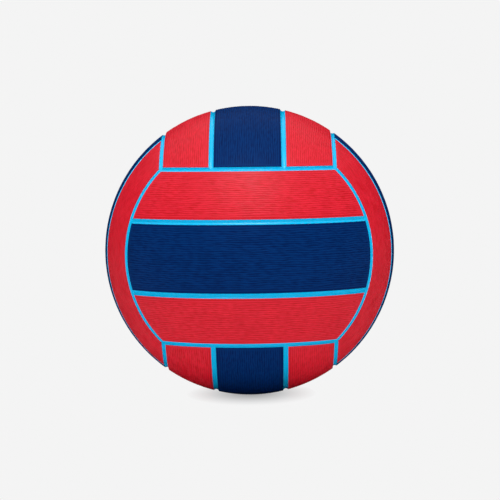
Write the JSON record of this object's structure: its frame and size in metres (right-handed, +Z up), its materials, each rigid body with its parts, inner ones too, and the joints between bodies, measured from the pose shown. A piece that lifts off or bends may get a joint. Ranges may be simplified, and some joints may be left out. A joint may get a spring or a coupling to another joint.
{
  "type": "water polo ball",
  "caption": "Inflatable rubber water polo ball with strip panels between sunk channels, a wound carcass, a bladder and a pull-out valve core for an inflating needle.",
  "frame": {"origin": "centre of the ball", "axes": "+Z up as the ball lies in the picture, -Y towards the viewer, +Y out through the valve"},
  "size_m": [0.22, 0.2198, 0.22],
  "materials": {
    "red_cover": "satin",
    "navy_cover": "satin",
    "channel_rubber": "satin",
    "winding": "matte",
    "bladder": "matte",
    "valve_body": "matte",
    "valve_core": "satin"
  },
  "bodies": {
    "ball": {"front_centre_panel": "navy_cover", "front_upper_panel": "red_cover", "front_lower_panel": "red_cover", "back_centre_panel": "navy_cover", "back_upper_panel": "red_cover", "back_lower_panel": "red_cover", "left_centre_panel": "navy_cover", "left_back_panel": "red_cover", "left_front_panel": "red_cover", "right_centre_panel": "navy_cover", "right_back_panel": "red_cover", "right_front_panel": "red_cover", "bottom_centre_panel": "navy_cover", "bottom_right_panel": "red_cover", "bottom_left_panel": "red_cover", "top_centre_panel": "navy_cover", "top_right_panel": "red_cover", "top_left_panel": "red_cover", "carcass": "channel_rubber", "nylon_winding": "winding", "bladder": "bladder", "valve_body": "valve_body"},
    "core": {"valve_core": "valve_core"}
  },
  "joints": [
    {"name": "core_pull", "type": "slide", "parent": "ball", "child": "core", "axis": [0, 1, 0], "range_m": [0, 0.024]}
  ]
}
